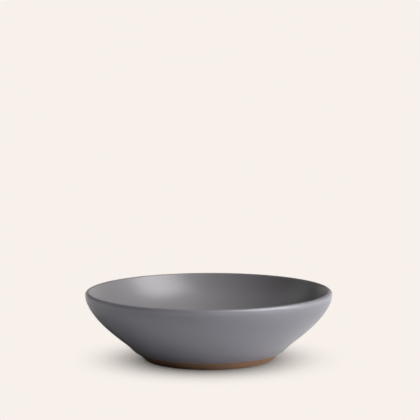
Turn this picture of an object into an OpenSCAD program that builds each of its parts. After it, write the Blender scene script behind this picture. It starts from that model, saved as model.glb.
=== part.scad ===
// Stoneware side bowl: a clay body with a bare foot, a glaze coat outside and another inside.
// Every piece is turned about the Z axis, and the foot rests on z = 0. Millimetres and degrees.

/* [Bowl] */
// Diameter across the rim, over the glaze
rim_d = 170; // [156:1:190]
// Height from the table to the top of the lip, over the glaze
bowl_h = 47; // [42:0.5:54]
// Radius of the lip's outer round, over the glaze
lip_outer_r = 2; // [1.5:0.1:3]
// Radius of the lip's inner round, over the glaze
lip_inner_r = 1.2; // [0.9:0.1:2]

/* [Wall] */
// Slope of the wall where it leaves the cove
wall_slope = 39; // [34:1:44]
// Length over which the wall leaves the cove nearly straight
wall_run = 5; // [2.5:0.1:10]
// Height over which the wall turns upright below the lip
rim_rise = 13; // [9:0.1:20]
// Slope of the inside just below the lip
inner_slope = 66; // [60:1:72]
// Slope of the inside where it has eased off
eased_slope = 58; // [52:1:59]
// Length over which it eases off, down the inside
inner_run = 10.2; // [6:0.1:13]
// Thickness of the clay where the wall meets the floor
wall_t = 5; // [3.5:0.1:6.5]
// Thickness of the clay in the middle of the floor
floor_t = 6; // [4.5:0.1:8]
// Diameter of the flat middle of the floor
floor_d = 74; // [50:1:84]

/* [Foot] */
// Outer diameter of the ring that rests on the table
foot_d = 88.5; // [81:0.5:97]
// Width of the ring that rests on the table
foot_w = 5; // [3:0.5:8]
// Slope of the foot's straight bare side
foot_slope = 43; // [38:1:50]
// Length of that side, up its slope
foot_run = 5.5; // [3:0.1:7]
// Slope in the hollow above it, where the glaze begins
hollow_slope = 33; // [26:1:37]
// Radius of that hollow
hollow_r = 14; // [8:1:20]
// Slope of the heel at its steepest
heel_slope = 46; // [42:1:52]
// Radius of the rounded heel above the hollow
heel_r = 19; // [12:1:26]
// Radius of the long cove between the heel and the wall
cove_r = 59; // [40:1:80]
// Depth of the recess under the base
recess_h = 2.5; // [1.5:0.1:4]

/* [Glaze] */
// Thickness of each glaze coat
glaze_t = 0.4; // [0.2:0.05:0.8]
// Height above the table of the line where the outside glaze stops
glaze_line_h = 5.6; // [3:0.1:9]

/* [Hidden] */

// Straight pieces in one turn, along the wall and along each other bend
turn_steps = 180;
wall_steps = 24;
bend_steps = 10;

// Points [radius, height] on a circle, from one angle to another
function arc(centre, radius, from, to) =
    [for (i = [0 : bend_steps]) let (a = from + (to - from) * i / bend_steps)
        centre + radius * [cos(a), sin(a)]];

// Points on a round that leaves a point at one slope and ends at another, convex where the slope grows
function bend(start, radius, from, to) =
    let (side = sign(to - from))
        [for (i = [0 : bend_steps]) let (a = from + (to - from) * i / bend_steps)
            start + side * radius * [sin(a) - sin(from), cos(from) - cos(a)]];

// A point on a cubic curve with four control points
function cubic(p, u) =
    pow(1 - u, 3) * p[0] + 3 * u * pow(1 - u, 2) * p[1] + 3 * u * u * (1 - u) * p[2] + pow(u, 3) * p[3];

// The unit vector that climbs outwards at a slope
function climb(slope) = [cos(slope), sin(slope)];

// A vector turned a quarter to its right
function right_of(v) = [v.y, -v.x];

// A list without its first entry, and a list backwards
function rest(list) = [for (i = [1 : len(list) - 1]) list[i]];
function backwards(list) = [for (i = [len(list) - 1 : -1 : 0]) list[i]];

// Foot: a straight bare side, then a hollow, a rounded heel and a long cove up to the wall
toe = [foot_d / 2, 0];
foot_top = toe + foot_run * climb(foot_slope);
hollow = bend(foot_top, hollow_r, foot_slope, hollow_slope);
heel = bend(hollow[bend_steps], heel_r, hollow_slope, heel_slope);
cove = bend(heel[bend_steps], cove_r, heel_slope, wall_slope);

// Lip: the clay's two rounds, which meet at the crest inside the glaze's own
crest_r = rim_d / 2 - lip_outer_r;
lip_outer = arc([crest_r, bowl_h - lip_outer_r], lip_outer_r - glaze_t, 0, 90);
lip_inner = arc([crest_r, bowl_h - lip_inner_r], lip_inner_r - glaze_t, 90, 90 + inner_slope);

// Wall: flares from the cove and turns upright at the lip. A low bowl has less room to turn in:
// the turn starts no lower than a flare at hollow_slope would reach the rim, so the wall doesn't sag
wall_foot = cove[bend_steps];
wall_top = lip_outer[0];
flare_end = wall_foot + wall_run * climb(wall_slope);
turn_room = wall_top.y - flare_end.y - (wall_top.x - flare_end.x) * tan(hollow_slope);
wall_curve = [wall_foot, flare_end, wall_top - [0, min(rim_rise, turn_room)], wall_top];
wall_outer = [for (i = [0 : wall_steps]) cubic(wall_curve, i / wall_steps)];

// Inside below the lip: a slight hollow that eases off on its way down
inner_rise = bend([0, 0], inner_run / (inner_slope - eased_slope) * 180 / PI, eased_slope, inner_slope);
inner_foot = lip_inner[bend_steps] - inner_rise[bend_steps];
inner_side = [for (p = backwards(inner_rise)) inner_foot + p];

// Inner wall: from there to the well, wall_t from the foot of the outer wall
floor_z = recess_h + floor_t;
well_top = wall_foot + wall_t * climb(wall_slope + 90);
reach = norm(inner_foot - well_top) / 3;
inner_curve = [
    inner_foot, inner_foot - reach * climb(eased_slope),
    well_top + reach * climb(wall_slope), well_top
];
wall_inner = [for (i = [0 : wall_steps]) cubic(inner_curve, i / wall_steps)];

// Well: the inner wall rounds off into the flat floor
well_corner = well_top - (well_top.y - floor_z) / sin(wall_slope) * climb(wall_slope);
well_end = [floor_d / 2, floor_z];
well_curve = [well_top, (well_top + 2 * well_corner) / 3, (well_end + 2 * well_corner) / 3, well_end];
well = [for (i = [0 : bend_steps]) cubic(well_curve, i / bend_steps)];

// The clay's outside, parted at the glaze line
outside = concat([toe], hollow, rest(heel), rest(cove), rest(wall_outer));
line_r = lookup(glaze_line_h, [for (p = outside) [p.y, p.x]]);
bare = [for (p = outside) if (p.y < glaze_line_h) p];
coated = concat([[line_r, glaze_line_h]], [for (p = outside) if (p.y > glaze_line_h) p]);

// The clay's whole surface from the toe, up over the lip and down to the middle of the floor
up_side = concat(bare, coated, rest(lip_outer));
skin = concat(up_side, rest(lip_inner), rest(inner_side), rest(wall_inner), rest(well), [[0, floor_z]]);
line_i = len(bare);
crest_i = len(up_side) - 1;
centre_i = len(skin) - 1;

// Underside: the recess, with a quarter round inside the foot ring
recess_r = foot_d / 2 - foot_w;
underside = concat([[0, recess_h]], backwards(arc([recess_r - recess_h, 0], recess_h, 0, 90)));

// The glaze's own surface over one point of the clay
function glazed(i) =
    let (along = skin[min(i + 1, centre_i)] - skin[i - 1])
        skin[i] + glaze_t * right_of(along / norm(along));

// One coat of glaze between two points of the clay's surface
module coat(from, to) {
    clay_face = [for (i = [from : to]) skin[i]];
    glaze_face = [for (i = [from : to]) glazed(i)];
    rotate_extrude($fn = turn_steps) polygon(concat(clay_face, backwards(glaze_face)));
}

module clay_body() {
    color("#8f7661") rotate_extrude($fn = turn_steps) polygon(concat(underside, skin));
}

module outside_glaze() {
    color("#7d7c82") coat(line_i, crest_i);
}

module inside_glaze() {
    color("#8e8c8a") coat(crest_i, centre_i);
}

clay_body();
outside_glaze();
inside_glaze();
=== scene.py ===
import math

import bmesh
import bpy
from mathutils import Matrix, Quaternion, Vector
from mathutils.geometry import interpolate_bezier


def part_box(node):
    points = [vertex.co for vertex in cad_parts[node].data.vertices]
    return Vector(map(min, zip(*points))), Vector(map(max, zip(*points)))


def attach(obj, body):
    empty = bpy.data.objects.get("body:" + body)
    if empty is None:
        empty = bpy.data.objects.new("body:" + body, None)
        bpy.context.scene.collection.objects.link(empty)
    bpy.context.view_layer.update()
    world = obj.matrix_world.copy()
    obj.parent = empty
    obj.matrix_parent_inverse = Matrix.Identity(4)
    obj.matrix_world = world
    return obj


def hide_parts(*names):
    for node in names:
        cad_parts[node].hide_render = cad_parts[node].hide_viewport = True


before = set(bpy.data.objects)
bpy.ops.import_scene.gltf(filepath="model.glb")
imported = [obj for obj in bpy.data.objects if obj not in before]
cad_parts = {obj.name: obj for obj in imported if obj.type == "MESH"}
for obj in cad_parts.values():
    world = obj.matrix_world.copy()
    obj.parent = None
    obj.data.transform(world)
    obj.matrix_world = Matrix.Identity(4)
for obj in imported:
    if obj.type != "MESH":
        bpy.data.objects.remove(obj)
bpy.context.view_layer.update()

# Clay body: the bowl itself, in brown stoneware, thrown and trimmed on the wheel and fired.
# Wall, floor and foot are one piece, turned here from one outline. It is glazed all over,
# but for the band of the foot and the underside, which stay bare.
MM = 0.001
rim_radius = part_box("outside_glaze")[1][0]
bowl_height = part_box("outside_glaze")[1][2]
floor_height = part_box("inside_glaze")[0][2]
glaze_thickness = 0.4 * MM
glaze_line_height = 5.6 * MM
lip_outer_radius = 2 * MM
lip_inner_radius = 1.2 * MM
wall_slope = 39
wall_run = 5 * MM
rim_rise = 13 * MM
inner_slope = 66
eased_slope = 58
inner_run = 10.2 * MM
wall_thickness = 5 * MM
floor_radius = 37 * MM
toe_radius = 44.25 * MM
foot_slope = 43
foot_run = 5.5 * MM
hollow_slope = 33
hollow_radius = 14 * MM
heel_slope = 46
heel_radius = 19 * MM
cove_radius = 59 * MM
foot_ring_width = 5 * MM
foot_edge_round = 0.6 * MM
recess_depth = 2.5 * MM


def arc(centre, radius, start, end, steps):
    """Points (radius, height) round a centre, from one angle in degrees to another."""
    angles = [math.radians(start + (end - start) * i / steps) for i in range(steps + 1)]
    return [centre + radius * Vector((math.cos(a), math.sin(a))) for a in angles]


def along(slope):
    """The direction that climbs outwards at a slope in degrees."""
    return Vector((math.cos(math.radians(slope)), math.sin(math.radians(slope))))


def bend(start, radius, slope, end_slope, steps):
    """Points of a round bend that begins at one slope in degrees and ends at another."""
    side = radius if end_slope > slope else -radius
    centre = start - side * along(slope - 90)
    return arc(centre, side, slope - 90, end_slope - 90, steps)


def turned(name, outline, steps=160, closed=True, sharp_angle=40, merge_distance=0.001 * MM):
    """An outline of (radius, height) points, closed or open, turned once round the bowl's axis."""
    bm = bmesh.new()
    corners = [bm.verts.new((point.x, 0, point.y)) for point in outline]
    next_corners = corners[1:] + corners[:1] if closed else corners[1:]
    for start, end in zip(corners, next_corners):
        if max(start.co.x, end.co.x) > merge_distance:
            bm.edges.new((start, end))
    bmesh.ops.spin(
        bm, geom=bm.verts[:] + bm.edges[:], cent=(0, 0, 0), axis=(0, 0, 1), angle=math.tau,
        steps=steps, use_merge=True,
    )
    bmesh.ops.remove_doubles(bm, verts=bm.verts, dist=merge_distance)
    bmesh.ops.recalc_face_normals(bm, faces=bm.faces)
    for face in bm.faces:
        face.smooth = True
    for edge in bm.edges:
        edge.smooth = edge.calc_face_angle(0) < math.radians(sharp_angle)
    mesh = bpy.data.meshes.new(name)
    bm.to_mesh(mesh)
    bm.free()
    piece = bpy.data.objects.new(name, mesh)
    bpy.context.collection.objects.link(piece)
    return piece


# The outside, from the toe up to the lip
foot_steps = 4
outer_wall_points = 33
toe = Vector((toe_radius, 0))
foot_top = toe + foot_run * along(foot_slope)
foot_side = [toe.lerp(foot_top, i / foot_steps) for i in range(foot_steps + 1)]
hollow = bend(foot_top, hollow_radius, foot_slope, hollow_slope, steps=6)
line_rise = glaze_line_height - hollow[-1].y
line_slope = math.degrees(math.acos(along(hollow_slope).x - line_rise / heel_radius))
bare_heel = bend(hollow[-1], heel_radius, hollow_slope, line_slope, steps=2)
glazed_heel = bend(bare_heel[-1], heel_radius, line_slope, heel_slope, steps=12)
cove = bend(glazed_heel[-1], cove_radius, heel_slope, wall_slope, steps=8)
crest_radius = rim_radius - lip_outer_radius
outer_lip_centre = Vector((crest_radius, bowl_height - lip_outer_radius))
outer_lip = arc(outer_lip_centre, lip_outer_radius - glaze_thickness, 0, 90, steps=16)
wall_foot = cove[-1]
wall_top = outer_lip[0]
outer_wall = interpolate_bezier(
    wall_foot, wall_foot + wall_run * along(wall_slope), wall_top - Vector((0, rim_rise)), wall_top,
    outer_wall_points,
)

# The inside, from the lip down to the middle of the floor
inner_wall_points = 21
well_points = 15
inner_lip_centre = Vector((crest_radius, bowl_height - lip_inner_radius))
inner_lip = arc(inner_lip_centre, lip_inner_radius - glaze_thickness, 90, 90 + inner_slope, steps=12)
easing_radius = inner_run / math.radians(inner_slope - eased_slope)
inner_rise = bend(Vector((0, 0)), easing_radius, eased_slope, inner_slope, steps=8)
inner_foot = inner_lip[-1] - inner_rise[-1]
inner_side = [inner_foot + point for point in inner_rise[::-1]]
well_top = wall_foot + wall_thickness * along(wall_slope + 90)
reach = (inner_foot - well_top).length / 3
inner_wall = interpolate_bezier(
    inner_foot, inner_foot - reach * along(eased_slope), well_top + reach * along(wall_slope), well_top,
    inner_wall_points,
)
well_corner = well_top - along(wall_slope) * (well_top.y - floor_height) / along(wall_slope).y
well_end = Vector((floor_radius, floor_height))
well = interpolate_bezier(
    well_top, (well_top + 2 * well_corner) / 3, (well_end + 2 * well_corner) / 3, well_end, well_points
)
floor_middle = Vector((0, floor_height))

# The underside, from the middle of the recess out to the foot ring
recess_radius = toe_radius - foot_ring_width
corner_radius = recess_depth - foot_edge_round
corner_centre = Vector((recess_radius - foot_edge_round - corner_radius, foot_edge_round))
recess_corner = arc(corner_centre, corner_radius, 90, 0, steps=8)
ring_edge = arc(Vector((recess_radius, foot_edge_round)), foot_edge_round, 180, 270, steps=4)
underside = [Vector((0, recess_depth))] + recess_corner + ring_edge[1:]

bare_side = foot_side + hollow[1:] + bare_heel[1:]
outside_skin = glazed_heel + cove[1:] + outer_wall[1:] + outer_lip[1:]
inside_skin = inner_lip + inner_side[1:] + inner_wall[1:] + well[1:] + [floor_middle]
skin = bare_side[:-1] + outside_skin + inside_skin[1:]
clay_body = turned("clay_body_visual", underside + skin)


class Wire:
    """One output of a shader node. Sums on it add Math nodes, and add() puts in any other node."""

    def __init__(self, tree, socket=None):
        self.tree = tree
        self.socket = socket

    def add(self, kind, settings, inputs, output=0):
        node = self.tree.nodes.new(kind)
        for name, value in settings.items():
            setattr(node, name, value)
        for name, value in inputs.items():
            if isinstance(value, Wire):
                self.tree.links.new(value.socket, node.inputs[name])
            else:
                node.inputs[name].default_value = value
        return Wire(self.tree, node.outputs[output])

    def math(self, operation, first, second):
        return self.add("ShaderNodeMath", {"operation": operation}, {0: first, 1: second})

    def __add__(self, other):
        return self.math("ADD", self, other)

    def __sub__(self, other):
        return self.math("SUBTRACT", self, other)

    def __rsub__(self, other):
        return self.math("SUBTRACT", other, self)

    def __mul__(self, other):
        return self.math("MULTIPLY", self, other)

    def __pow__(self, other):
        return self.math("POWER", self, other)

    __radd__ = __add__
    __rmul__ = __mul__

    def into(self, shader, name):
        self.tree.links.new(self.socket, shader.inputs[name])


def finish_for(name):
    """A new material, its shader, and the piece's own coordinates as a wire."""
    finish = bpy.data.materials.new(name)
    finish.use_nodes = True
    shader = finish.node_tree.nodes["Principled BSDF"]
    return finish, shader, Wire(finish.node_tree).add("ShaderNodeTexCoord", {}, {}, "Object")


def height_of(point):
    """How far a point lies above the table."""
    return point.add("ShaderNodeSeparateXYZ", {}, {"Vector": point}, "Z")


def reach_of(point):
    """How far a point lies from the middle of the foot."""
    return point.add("ShaderNodeVectorMath", {"operation": "LENGTH"}, {0: point}, "Value")


def noise(point, scale, detail):
    """Cloudy noise from 0 to 1, with so many lumps to the metre."""
    return point.add("ShaderNodeTexNoise", {}, {"Vector": point, "Scale": scale, "Detail": detail})


def colours(factor, low, high):
    """A colour that goes from low to high as the factor goes from 0 to 1."""
    return factor.add("ShaderNodeMix", {"data_type": "RGBA"}, {0: factor, 6: low, 7: high}, 2)


def relief(height, depth):
    """A surface normal for a height from 0 to 1 that stands for a depth in metres."""
    return height.add("ShaderNodeBump", {}, {"Height": height, "Distance": depth})


clay_dark = (0.180, 0.100, 0.058, 1)
clay_pale = (0.336, 0.195, 0.114, 1)
tool_mark_depth = 0.06 * MM
clay, clay_shader, clay_point = finish_for("bare_clay")
turning_point = clay_point.add(
    "ShaderNodeCombineXYZ", {}, {"X": reach_of(clay_point), "Y": height_of(clay_point)}
)
turning_lines = noise(turning_point, scale=1600, detail=2)
sand = noise(clay_point, scale=1400, detail=3)
clay_clouds = noise(clay_point, scale=120, detail=3)
clay_tone = 0.4 * turning_lines + 0.35 * sand + 0.25 * clay_clouds
clay_roughness = 0.78 + 0.14 * sand
tool_marks = 0.6 * turning_lines + 0.4 * sand
colours(clay_tone, clay_dark, clay_pale).into(clay_shader, "Base Color")
clay_roughness.into(clay_shader, "Roughness")
relief(tool_marks, tool_mark_depth).into(clay_shader, "Normal")
clay_shader.inputs["Specular IOR Level"].default_value = 0.3
clay_body.data.materials.append(clay)
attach(clay_body, "root")
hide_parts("clay_body")

# Outside glaze: a satin grey coat with a cool cast, dipped over the outside and melted smooth.
# Its colour is painted darker just above the foot as painted shade; there it ends in a thin rolled edge,
# where the clay was wiped bare.
# It meets the inside glaze on top of the lip, where it has a softer, brighter sheen.
cool_dark = (0.152, 0.148, 0.170, 1)
cool_pale = (0.172, 0.168, 0.192, 1)
# The darker grey just above the foot is painted shade, not a thicker glaze.
cool_painted_shade = (0.136, 0.132, 0.153, 1)
edge_roll = 0.8 * MM
painted_shade_height = 6 * MM
sheen_start = 2 * MM
sheen_end = 5.5 * MM
sheen_strength = 0.9
sheen_roughness = 0.6
pore_depth = 0.012 * MM


def glaze_point(i, distance):
    """The glaze's own surface over one point of the clay's skin, thinner near the rolled edge."""
    before, after = skin[i - 1], skin[min(i + 1, len(skin) - 1)]
    way = (after - before).normalized()
    short = max(1 - distance / edge_roll, 0)
    return skin[i] + glaze_thickness * math.sqrt(1 - short * short) * Vector((way.y, -way.x))


line_index = len(bare_side) - 1
crest_index = line_index + len(outside_skin) - 1
outside_clay = skin[line_index:crest_index + 1]
outside_face = [
    glaze_point(i, (skin[i] - skin[line_index]).length) for i in range(line_index, crest_index + 1)
]
outside_glaze = turned("outside_glaze_visual", outside_clay + outside_face[::-1])


def satin(name):
    """A satin glaze, with an eggshell surface and an even sheen, and a mottling for its colour."""
    finish, shader, point = finish_for(name)
    clouds = noise(point, scale=60, detail=4)
    pores = noise(point, scale=900, detail=3)
    glaze_roughness = 0.32 + 0.06 * pores
    mottling = 0.6 * clouds + 0.4 * pores
    glaze_roughness.into(shader, "Roughness")
    relief(pores, pore_depth).into(shader, "Normal")
    return finish, shader, point, mottling


def fade(height, start, end):
    """Goes smoothly from 0 at one height to 1 at another."""
    return height.add(
        "ShaderNodeMapRange", {"interpolation_type": "SMOOTHSTEP"},
        {"Value": height, "From Min": start, "From Max": end},
    )


outside_finish, outside_shader, outside_point, outside_mottling = satin("outside_glaze")
outside_height = height_of(outside_point)
# Painted shade: the base colour goes from the darker grey at the glaze line to the mottled grey 6 mm
# higher.
painted_shade_fade = fade(outside_height, glaze_line_height, glaze_line_height + painted_shade_height)
cool_grey = colours(outside_mottling, cool_dark, cool_pale)
colours(painted_shade_fade, cool_painted_shade, cool_grey).into(outside_shader, "Base Color")
lip_sheen = sheen_strength * fade(outside_height, bowl_height - sheen_end, bowl_height - sheen_start)
lip_sheen.into(outside_shader, "Coat Weight")
outside_shader.inputs["Coat Roughness"].default_value = sheen_roughness
outside_glaze.data.materials.append(outside_finish)
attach(outside_glaze, "root")
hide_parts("outside_glaze")

# Inside glaze: the liner, a satin grey with hardly a cast, poured in and swilled up to the lip.
# It covers the well and the floor in one coat and meets the outside glaze on top of the lip.
plain_dark = (0.157, 0.149, 0.156, 1)
plain_pale = (0.177, 0.169, 0.176, 1)
inside_clay = skin[crest_index:]
inside_face = [glaze_point(i, edge_roll) for i in range(crest_index, len(skin))]
inside_glaze = turned("inside_glaze_visual", inside_clay + inside_face[::-1])
inside_finish, inside_shader, _, inside_mottling = satin("inside_glaze")
colours(inside_mottling, plain_dark, plain_pale).into(inside_shader, "Base Color")
inside_glaze.data.materials.append(inside_finish)
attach(inside_glaze, "root")
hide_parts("inside_glaze")

# Studio: a pale warm sheet that lies flat as the floor and sweeps up all round into a low backdrop.
# It is lit by the lamps, and the camera sees its own plain colour with a painted shadow, darkened softly
# where the bowl stands close.
# Seen in the glaze, only its far parts have that plain colour. Four soft lamps stand round the bowl.
backdrop_colour = (0.939, 0.879, 0.831, 1)
shadow_colour = (0, 0, 0, 1)
paper_colour = (0.88, 0.88, 0.88, 1)
sheet_radius = 2.6
sweep_radius = 0.7
far_start = 1.2
far_end = 2.2
shadow_reach = 40 * MM
shadow_lean = Vector((0.07, 0.12, 1)).normalized()
shadow_depth = 1.3
shadow_fall = 3.25
sky_level = 0.01
sheet_edge = arc(Vector((sheet_radius, sweep_radius)), sweep_radius, 270, 360, steps=12)
floor = turned("floor", [Vector((0, 0))] + sheet_edge, steps=64, closed=False)

paper, paper_shader, paper_point = finish_for("paper")
paper_shader.inputs["Base Color"].default_value = paper_colour
paper_shader.inputs["Roughness"].default_value = 1.0
paper_shader.inputs["Specular IOR Level"].default_value = 0.0
shadow_side = paper_point.add(
    "ShaderNodeCombineXYZ", {}, {"X": shadow_lean.x, "Y": shadow_lean.y, "Z": shadow_lean.z}
)
openness = paper_point.add(
    "ShaderNodeAmbientOcclusion", {"samples": 16}, {"Distance": shadow_reach, "Normal": shadow_side}, "AO"
)
# Painted shadow: the colour the camera sees darkens towards black where the bowl stands close, from its
# occlusion rather than from the lamps.
plainness = 1 - shadow_depth * (1 - openness) ** shadow_fall
painted_shadow_colour = colours(plainness, shadow_colour, backdrop_colour)
painted_shadow_sheet = paper_point.add("ShaderNodeEmission", {}, {"Color": painted_shadow_colour})
far_off = paper_point.add(
    "ShaderNodeMapRange", {},
    {"Value": reach_of(paper_point), "From Min": far_start, "From Max": far_end},
)
by_camera = paper_point.add("ShaderNodeLightPath", {}, {}, "Is Camera Ray")
by_gloss = paper_point.add("ShaderNodeLightPath", {}, {}, "Is Glossy Ray")
by_glass = paper_point.add("ShaderNodeLightPath", {}, {}, "Is Transmission Ray")
paper_lit = Wire(paper.node_tree, paper_shader.outputs[0])
paper_seen = paper_point.add(
    "ShaderNodeMixShader", {},
    {0: by_camera + by_glass + by_gloss * far_off, 1: paper_lit, 2: painted_shadow_sheet},
)
paper_seen.into(paper.node_tree.nodes["Material Output"], "Surface")
floor.data.materials.append(paper)

world = bpy.data.worlds.new("studio")
world.use_nodes = True
bpy.context.scene.world = world
world.node_tree.nodes["Background"].inputs["Color"].default_value = (1, 1, 1, 1)
world.node_tree.nodes["Background"].inputs["Strength"].default_value = sky_level


def softbox(name, azimuth, elevation, distance, width, height, level):
    """A lamp behind a sheet of diffuser, aimed at the bowl. Azimuth 0 is +X, 90 is behind."""
    lamp = bpy.data.lights.new(name, "AREA")
    lamp.shape = "RECTANGLE"
    lamp.size = width
    lamp.size_y = height
    lamp.energy = level * (math.pi * distance) ** 2
    box = bpy.data.objects.new(name, lamp)
    bpy.context.collection.objects.link(box)
    flat = distance * along(elevation)
    turn = along(azimuth)
    box.location = (flat.x * turn.x, flat.x * turn.y, flat.y)
    box.rotation_euler = (-box.location).to_track_quat("-Z", "Y").to_euler()
    box.visible_camera = False


softbox("key", azimuth=335, elevation=40, distance=1.42, width=1.0, height=1.3, level=1.74)
softbox("low", azimuth=350, elevation=6, distance=1.5, width=0.45, height=0.18, level=0.2)
softbox("top", azimuth=320, elevation=74, distance=1.5, width=0.6, height=0.6, level=0.05)
softbox("fill", azimuth=150, elevation=30, distance=1.5, width=0.6, height=0.6, level=0.05)

# Camera: a long lens a little above the rim, where the photograph was taken from, aimed over the bowl.
# It stands far off, so that the near and far rims keep the photograph's proportions, and leans a hair.
camera_distance = 1.2
camera_elevation = 9.793
camera_height = 25 * MM
camera_roll = -0.18
aim = Vector((0.00106, 0, 0.10252))
lens = bpy.data.cameras.new("camera")
lens.sensor_width = 36
lens.lens = 148.55
camera = bpy.data.objects.new("camera", lens)
bpy.context.collection.objects.link(camera)
stand = camera_distance * along(camera_elevation)
camera.location = (0, -stand.x, stand.y + camera_height)
aimed = (aim - camera.location).to_track_quat("-Z", "Y")
camera.rotation_euler = (aimed @ Quaternion((0, 0, 1), math.radians(camera_roll))).to_euler()
bpy.context.scene.camera = camera
bpy.context.scene.view_settings.view_transform = "Standard"
